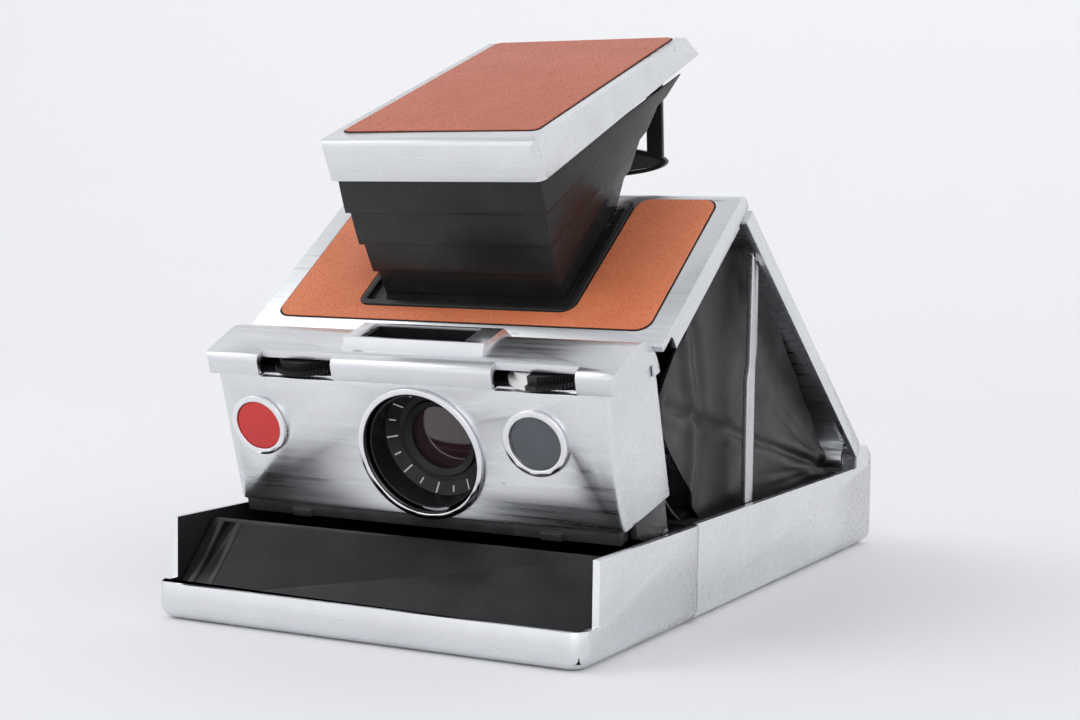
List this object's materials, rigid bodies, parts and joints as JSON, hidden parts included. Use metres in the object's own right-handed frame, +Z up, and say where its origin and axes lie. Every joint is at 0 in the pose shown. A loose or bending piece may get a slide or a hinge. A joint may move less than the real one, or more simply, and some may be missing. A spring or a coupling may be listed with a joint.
{
  "type": "instant camera",
  "caption": "Folding instant camera standing erected, with a silver shell, tan leather panels, a raised finder and a fixed lens housing.",
  "frame": {"origin": "middle of the underside of the base, in the middle of the footprint", "axes": "+X is the right side seen from the front, -Y is the front with the lens, +Z is up"},
  "size_m": [0.103, 0.178, 0.1303],
  "materials": {
    "silver": "satin brushed plating with light scuffs",
    "steel": "plain steel",
    "brass_parts": "bare brass",
    "chrome_rims": "polished",
    "tan_leather": "fine grain, slightly rubbed",
    "black_plastic": "satin black",
    "black_rubber": "soft matte with creases",
    "red_plastic": "smooth red",
    "clear_glass": "coated, dark behind",
    "mirror_glass": "front-silvered"
  },
  "bodies": {
    "root": {"base_shell": "silver", "counter_window": "clear_glass", "chassis": "black_plastic", "rear_hinge_pins": "steel", "housing_hinge_pins": "steel", "film_spring": "steel", "battery_contacts": "brass_parts", "motor": "steel", "gear_shaft": "steel", "bellows": "black_rubber", "fresnel_carrier": "black_plastic", "fresnel_mirror": "mirror_glass", "door_hinge_pin": "steel"},
    "film_door": {"film_door_shell": "silver", "roller_cheeks": "black_plastic", "deck_pin": "steel"},
    "lower_roller": {"lower_roller": "black_plastic"},
    "upper_roller": {"upper_roller": "black_plastic"},
    "deck_flap": {"deck_flap": "black_plastic"},
    "door_latch": {"door_latch": "black_plastic"},
    "motor_pinion": {"motor_pinion": "brass_parts"},
    "drive_gear": {"drive_gear": "brass_parts"},
    "counter_dial": {"counter_dial": "black_plastic"},
    "rear_cover": {"rear_cover": "silver", "rear_leather": "tan_leather", "main_mirror": "mirror_glass", "brace_pins": "steel", "brace_springs": "steel"},
    "braces": {"side_braces": "steel"},
    "front_cover": {"front_cover": "silver", "front_leather": "tan_leather", "finder_surround": "black_plastic", "finder_frame_4": "black_plastic"},
    "finder_cap": {"cap_shell": "silver", "cap_leather": "tan_leather"},
    "finder_1": {"finder_frame_1": "black_plastic"},
    "finder_2": {"finder_frame_2": "black_plastic"},
    "finder_3": {"finder_frame_3": "black_plastic"},
    "eyepiece": {"eyepiece_frame": "black_plastic", "eyepiece_lens": "clear_glass"},
    "shutter_housing": {"housing_shell": "silver", "housing_back": "black_plastic", "top_cover": "silver", "flash_socket": "black_plastic", "flash_contacts": "brass_parts", "foot_rail": "black_plastic", "foot_brackets": "black_plastic", "lens_ring": "chrome_rims", "sensor_ring": "chrome_rims", "button_ring": "chrome_rims", "sensor_window": "clear_glass", "rear_glass": "clear_glass", "shutter_block": "black_plastic"},
    "shutter_button": {"shutter_button": "red_plastic"},
    "focus_wheel": {"focus_wheel": "black_plastic"},
    "exposure_wheel": {"exposure_wheel": "black_plastic"},
    "lens_barrel": {"lens_barrel": "black_plastic", "front_glass": "clear_glass"},
    "blade_left": {"blade_left": "black_plastic"},
    "blade_right": {"blade_right": "black_plastic"}
  },
  "joints": [
    {"name": "fold", "type": "hinge", "parent": "root", "child": "rear_cover", "pos_m": [0, 0.07977, 0.0233], "axis": [1, 0, 0], "range_deg": [0, 36.2], "deforming": ["bellows"]},
    {"name": "housing_fold", "type": "hinge", "parent": "root", "child": "shutter_housing", "pos_m": [0, -0.04392, 0.02074], "axis": [1, 0, 0], "range_deg": [0, 72.4]},
    {"name": "front_fold", "type": "hinge", "parent": "shutter_housing", "child": "front_cover", "pos_m": [0, -0.05247, 0.05932], "axis": [1, 0, 0], "range_deg": [-108.4, 0]},
    {"name": "brace_fold", "type": "hinge", "parent": "rear_cover", "child": "braces", "pos_m": [0, 0.00356, 0.07833], "axis": [1, 0, 0], "range_deg": [0, 53.8]},
    {"name": "deck_fold", "type": "hinge", "parent": "film_door", "child": "deck_flap", "pos_m": [0, -0.0853, 0.00235], "axis": [1, 0, 0], "range_deg": [-47, 0]},
    {"name": "door_open", "type": "hinge", "parent": "root", "child": "film_door", "pos_m": [0, -0.0342, 0.0017], "axis": [1, 0, 0], "range_deg": [0, 60]},
    {"name": "lower_roller_spin", "type": "hinge", "parent": "film_door", "child": "lower_roller", "pos_m": [0, -0.042, 0.005], "axis": [1, 0, 0], "continuous": true},
    {"name": "upper_roller_spin", "type": "hinge", "parent": "film_door", "child": "upper_roller", "pos_m": [0, -0.042, 0.0097], "axis": [1, 0, 0], "continuous": true},
    {"name": "finder_fold", "type": "hinge", "parent": "front_cover", "child": "finder_cap", "pos_m": [0, 0.0384, 0.13044], "axis": [1, 0, 0], "range_deg": [0, 16.3]},
    {"name": "finder_1_fold", "type": "hinge", "parent": "front_cover", "child": "finder_1", "pos_m": [0, 0.0384, 0.13044], "axis": [1, 0, 0], "range_deg": [0, 11.65]},
    {"name": "finder_2_fold", "type": "hinge", "parent": "front_cover", "child": "finder_2", "pos_m": [0, 0.0384, 0.13044], "axis": [1, 0, 0], "range_deg": [0, 7.55]},
    {"name": "finder_3_fold", "type": "hinge", "parent": "front_cover", "child": "finder_3", "pos_m": [0, 0.0384, 0.13044], "axis": [1, 0, 0], "range_deg": [0, 2.95]},
    {"name": "eyepiece_fold", "type": "hinge", "parent": "finder_cap", "child": "eyepiece", "pos_m": [0, 0.01107, 0.12514], "axis": [1, 0, 0], "range_deg": [-75.3, 0]},
    {"name": "focus_turn", "type": "hinge", "parent": "shutter_housing", "child": "focus_wheel", "pos_m": [-0.0264, -0.06357, 0.05509], "axis": [0, -0.3024, 0.9532], "range_deg": [-120, 120]},
    {"name": "lens_turn", "type": "hinge", "parent": "shutter_housing", "child": "lens_barrel", "pos_m": [0.002, -0.06655, 0.03673], "axis": [0, 0.9532, 0.3024], "range_deg": [-90, 90]},
    {"name": "exposure_turn", "type": "hinge", "parent": "shutter_housing", "child": "exposure_wheel", "pos_m": [0.0314, -0.06357, 0.05509], "axis": [0, -0.3024, 0.9532], "range_deg": [-60, 60]},
    {"name": "shutter_press", "type": "slide", "parent": "shutter_housing", "child": "shutter_button", "axis": [0, 0.9532, 0.3024], "range_m": [0, 0.0015], "stiffness_N_per_m": 300},
    {"name": "blade_slide", "type": "slide", "parent": "shutter_housing", "child": "blade_left", "axis": [-1, 0, 0], "range_m": [0, 0.016]},
    {"name": "blade_follow", "type": "slide", "parent": "shutter_housing", "child": "blade_right", "axis": [1, 0, 0], "range_m": [0, 0.016]},
    {"name": "gear_spin", "type": "hinge", "parent": "root", "child": "drive_gear", "pos_m": [0.01, 0.081, 0.01412], "axis": [1, 0, 0], "continuous": true},
    {"name": "pinion_spin", "type": "hinge", "parent": "root", "child": "motor_pinion", "pos_m": [0.01, 0.081, 0.007], "axis": [1, 0, 0], "continuous": true},
    {"name": "counter_turn", "type": "hinge", "parent": "root", "child": "counter_dial", "pos_m": [-0.03, 0.086, 0.009], "axis": [0, 1, 0], "range_deg": [-300, 0]},
    {"name": "latch_slide", "type": "slide", "parent": "root", "child": "door_latch", "axis": [0, 0, -1], "range_m": [0, 0.0024], "stiffness_N_per_m": 250}
  ],
  "couplings": [
    {"joint": "housing_fold", "follows": "fold", "ratio": 2},
    {"joint": "front_fold", "follows": "fold", "ratio": -2.9945},
    {"joint": "brace_fold", "follows": "fold", "ratio": 1.4862},
    {"joint": "deck_fold", "follows": "fold", "ratio": -1.2983},
    {"joint": "upper_roller_spin", "follows": "lower_roller_spin", "ratio": -1},
    {"joint": "finder_1_fold", "follows": "fold", "ratio": 0.32182},
    {"joint": "finder_2_fold", "follows": "fold", "ratio": 0.20856},
    {"joint": "finder_3_fold", "follows": "fold", "ratio": 0.081492},
    {"joint": "finder_fold", "follows": "fold", "ratio": 0.45028},
    {"joint": "eyepiece_fold", "follows": "fold", "ratio": -2.0801},
    {"joint": "lens_turn", "follows": "focus_turn", "ratio": 0.75},
    {"joint": "blade_follow", "follows": "blade_slide", "ratio": 1},
    {"joint": "pinion_spin", "follows": "gear_spin", "ratio": -1.8}
  ]
}
